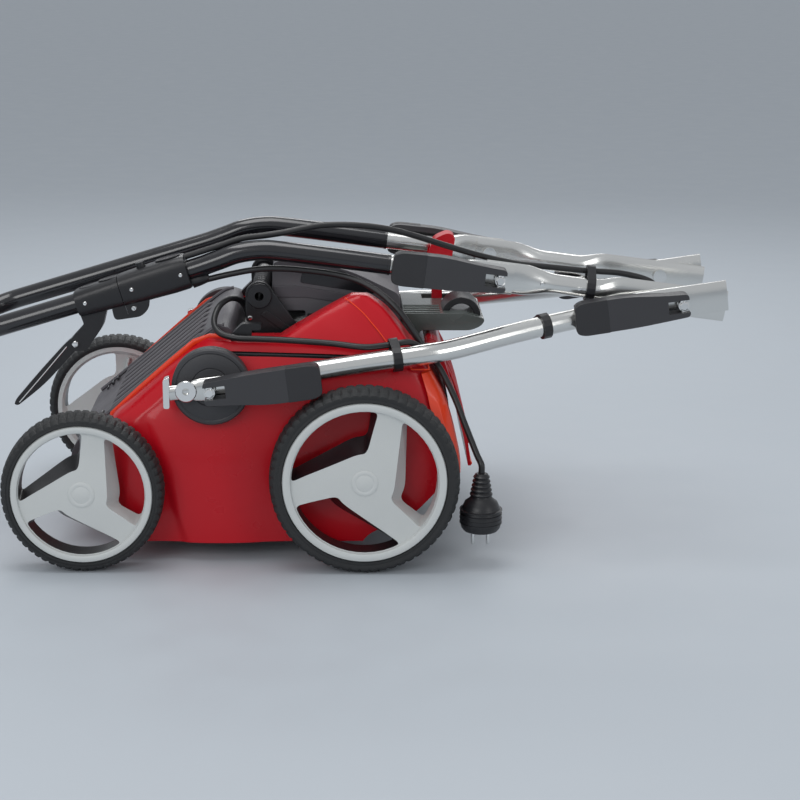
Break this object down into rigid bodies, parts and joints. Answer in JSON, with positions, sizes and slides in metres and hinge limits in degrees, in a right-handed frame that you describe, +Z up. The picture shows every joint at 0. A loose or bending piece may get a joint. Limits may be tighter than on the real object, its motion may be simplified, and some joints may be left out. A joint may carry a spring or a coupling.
{
  "type": "electric push lawn mower",
  "caption": "Corded electric push lawn mower folded for storage: glossy shell, four wheels, three-part folding tube handle, switch lever, height lever, discharge flap.",
  "frame": {"origin": "on the floor under the middle of the folded mower's outline, the mains cord and plug left out", "axes": "+X towards the mower's rear (away from the front wheels), +Y towards its right side, +Z up"},
  "size_m": [1.0018, 0.472, 0.4189],
  "materials": {
    "red": "glossy moulded shell",
    "hood_grey": "satin ribbed cover",
    "lever_grey": "matte",
    "black": "satin",
    "black_tube": "gloss powder coat",
    "rim_grey": "satin",
    "rubber": "matte tread",
    "cable": "satin sheath",
    "chrome": "bright",
    "steel": "brushed",
    "copper": "wound motor",
    "smoke": "translucent smoky"
  },
  "bodies": {
    "mower": {"deck_shell": "red", "motor_hood": "hood_grey", "motor_cover": "hood_grey", "motor_stator": "copper", "lower_bearing": "steel", "motor_end_cap": "steel", "upper_bearing": "steel", "pivot_disc_left": "lever_grey", "pivot_disc_right": "lever_grey", "flap_pin": "steel", "flap_spring": "steel", "carry_handle": "black", "carry_bracket": "black", "rear_grip": "smoke"},
    "blade_shaft": {"motor_rotor": "steel", "blade_hub": "black", "blade_bolt": "steel", "blade": "steel"},
    "front_axle": {"front_axle": "steel"},
    "rear_axle": {"rear_axle": "steel"},
    "front_wheel_left": {"front_rim_left": "rim_grey", "front_tyre_left": "rubber"},
    "front_wheel_right": {"front_rim_right": "rim_grey", "front_tyre_right": "rubber"},
    "rear_wheel_left": {"rear_rim_left": "rim_grey", "rear_tyre_left": "rubber"},
    "rear_wheel_right": {"rear_rim_right": "rim_grey", "rear_tyre_right": "rubber"},
    "lower_bars": {"lower_bar_left": "chrome", "lower_bar_right": "chrome", "clamp_bolt_1_left": "chrome", "clamp_bolt_1_right": "chrome", "clamp_bolt_2_left": "chrome", "clamp_bolt_2_right": "chrome", "bar_clip_front": "black", "bar_clip_rear": "black", "motor_cable_lower": "cable"},
    "middle_bars": {"middle_bar_left": "chrome", "middle_bar_right": "chrome", "cable_strap": "black", "motor_cable_middle": "cable"},
    "upper_handle": {"upper_handle": "black_tube", "upper_end_left": "chrome", "upper_end_right": "chrome", "clamp_bolt_3_left": "chrome", "clamp_bolt_3_right": "chrome", "switch_box": "black", "motor_cable_upper": "cable", "mains_cord": "cable", "mains_plug": "black"},
    "switch_lever": {"switch_lever": "black"},
    "lock_button": {"lock_button": "black"},
    "rear_flap": {"rear_flap": "red"},
    "height_lever": {"height_lever": "red"},
    "clamp_lever_1_left": {"clamp_lever_1_left": "lever_grey"},
    "clamp_lever_1_right": {"clamp_lever_1_right": "lever_grey"},
    "clamp_lever_2_left": {"clamp_lever_2_left": "lever_grey"},
    "clamp_lever_2_right": {"clamp_lever_2_right": "lever_grey"},
    "clamp_lever_3_left": {"clamp_lever_3_left": "lever_grey"},
    "clamp_lever_3_right": {"clamp_lever_3_right": "lever_grey"}
  },
  "joints": [
    {"name": "fold_lower", "type": "hinge", "parent": "mower", "child": "lower_bars", "pos_m": [-0.15823, 0, 0.231], "axis": [0, -1, 0], "range_deg": [0, 22], "deforming": ["motor_cable_lower"]},
    {"name": "fold_middle", "type": "hinge", "parent": "lower_bars", "child": "middle_bars", "pos_m": [0.43877, 0, 0.318], "axis": [0, 1, 0], "range_deg": [0, 164], "deforming": ["motor_cable_middle"]},
    {"name": "fold_upper", "type": "hinge", "parent": "middle_bars", "child": "upper_handle", "pos_m": [0.20577, 0, 0.349], "axis": [0, 1, 0], "range_deg": [0, 140], "deforming": ["motor_cable_upper", "mains_cord", "mains_plug"]},
    {"name": "clamp_open_1_left", "type": "hinge", "parent": "lower_bars", "child": "clamp_lever_1_left", "pos_m": [-0.15823, -0.2137, 0.231], "axis": [0.1219, 0, -0.9925], "range_deg": [0, 100]},
    {"name": "clamp_open_1_right", "type": "hinge", "parent": "lower_bars", "child": "clamp_lever_1_right", "pos_m": [-0.15823, 0.2137, 0.231], "axis": [-0.1219, 0, 0.9925], "range_deg": [0, 100]},
    {"name": "clamp_open_2_left", "type": "hinge", "parent": "lower_bars", "child": "clamp_lever_2_left", "pos_m": [0.43877, -0.1097, 0.318], "axis": [-0.1392, 0, 0.9903], "range_deg": [0, 100]},
    {"name": "clamp_open_2_right", "type": "hinge", "parent": "lower_bars", "child": "clamp_lever_2_right", "pos_m": [0.43877, 0.1097, 0.318], "axis": [0.1392, 0, -0.9903], "range_deg": [0, 100]},
    {"name": "clamp_open_3_left", "type": "hinge", "parent": "upper_handle", "child": "clamp_lever_3_left", "pos_m": [0.20577, -0.1057, 0.349], "axis": [0.1219, 0, 0.9925], "range_deg": [0, 100]},
    {"name": "clamp_open_3_right", "type": "hinge", "parent": "upper_handle", "child": "clamp_lever_3_right", "pos_m": [0.20577, 0.1057, 0.349], "axis": [-0.1219, 0, -0.9925], "range_deg": [0, 100]},
    {"name": "rear_axle_swing", "type": "hinge", "parent": "mower", "child": "rear_axle", "pos_m": [0.06077, 0, 0.119], "axis": [0, -1, 0], "range_deg": [0, 45]},
    {"name": "front_axle_swing", "type": "hinge", "parent": "mower", "child": "front_axle", "pos_m": [-0.29123, 0, 0.102], "axis": [0, -1, 0], "range_deg": [0, 45]},
    {"name": "height_setting", "type": "hinge", "parent": "mower", "child": "height_lever", "pos_m": [0.13277, 0.05, 0.288], "axis": [0, -1, 0], "range_deg": [0, 35]},
    {"name": "front_wheel_spin_left", "type": "hinge", "parent": "front_axle", "child": "front_wheel_left", "pos_m": [-0.31923, -0.209, 0.102], "axis": [0, 1, 0], "continuous": true},
    {"name": "rear_wheel_spin_left", "type": "hinge", "parent": "rear_axle", "child": "rear_wheel_left", "pos_m": [0.03277, -0.214, 0.119], "axis": [0, 1, 0], "continuous": true},
    {"name": "front_wheel_spin_right", "type": "hinge", "parent": "front_axle", "child": "front_wheel_right", "pos_m": [-0.31923, 0.209, 0.102], "axis": [0, 1, 0], "continuous": true},
    {"name": "rear_wheel_spin_right", "type": "hinge", "parent": "rear_axle", "child": "rear_wheel_right", "pos_m": [0.03277, 0.214, 0.119], "axis": [0, 1, 0], "continuous": true},
    {"name": "blade_spin", "type": "hinge", "parent": "mower", "child": "blade_shaft", "pos_m": [-0.10823, 0, 0], "axis": [0, 0, 1], "continuous": true},
    {"name": "flap_open", "type": "hinge", "parent": "mower", "child": "rear_flap", "pos_m": [0.11877, 0, 0.262], "axis": [0, -1, 0], "range_deg": [0, 45], "stiffness_Nm_per_rad": 0.4, "springref_deg": -34.38},
    {"name": "switch_pull", "type": "hinge", "parent": "upper_handle", "child": "switch_lever", "pos_m": [-0.33723, -0.0905, 0.265], "axis": [0, 1, 0], "range_deg": [0, 20], "stiffness_Nm_per_rad": 0.5, "springref_deg": -28.65},
    {"name": "lock_press", "type": "slide", "parent": "upper_handle", "child": "lock_button", "axis": [0.2873, 0, -0.9578], "range_m": [0, 0.004], "stiffness_N_per_m": 300, "springref_m": -0.003}
  ],
  "couplings": [
    {"joint": "front_axle_swing", "follows": "rear_axle_swing", "ratio": 1},
    {"joint": "height_setting", "follows": "rear_axle_swing", "ratio": 0.77778}
  ]
}
